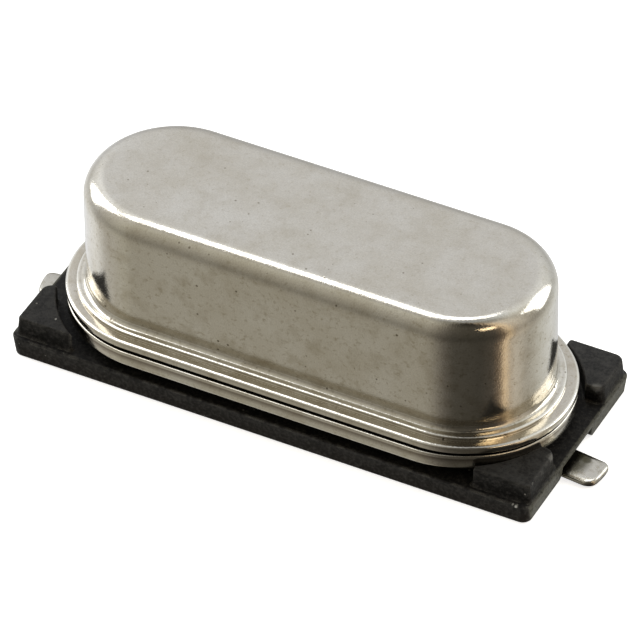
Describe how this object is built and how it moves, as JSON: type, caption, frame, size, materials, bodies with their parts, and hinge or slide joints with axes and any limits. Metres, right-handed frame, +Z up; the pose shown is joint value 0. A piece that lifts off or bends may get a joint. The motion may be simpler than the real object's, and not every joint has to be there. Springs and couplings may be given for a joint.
{
  "type": "quartz crystal",
  "caption": "Two-lead quartz crystal in a low-profile welded metal can, on a moulded surface-mount base with a flat solder tab at each end.",
  "frame": {"origin": "middle of the underside, in the seating plane that the base and both solder tabs share", "axes": "+X along the can to the right-hand tab, +Y across it, +Z up from the board"},
  "size_m": [0.0128, 0.0046, 0.0039],
  "materials": {
    "black_moulding": "matte black moulded thermoplastic",
    "plated_header": "satin nickel plate on steel",
    "seal_glass": "fused sealing glass",
    "tinned_wire": "bright tinned wire, pressed flat",
    "spring_sheet": "nickel silver sheet",
    "quartz": "lapped clear quartz",
    "silver_film": "evaporated silver",
    "silver_adhesive": "silver-filled epoxy",
    "nickel_plate": "satin nickel plate, drawn"
  },
  "bodies": {
    "root": {"insulator_base": "black_moulding", "header": "plated_header", "glass_seal_left": "seal_glass", "glass_seal_right": "seal_glass", "lead_left": "tinned_wire", "lead_right": "tinned_wire", "clip_left": "spring_sheet", "clip_right": "spring_sheet", "quartz_blank": "quartz", "electrode_front": "silver_film", "electrode_back": "silver_film", "adhesive_left": "silver_adhesive", "adhesive_right": "silver_adhesive", "can": "nickel_plate"}
  },
  "joints": []
}
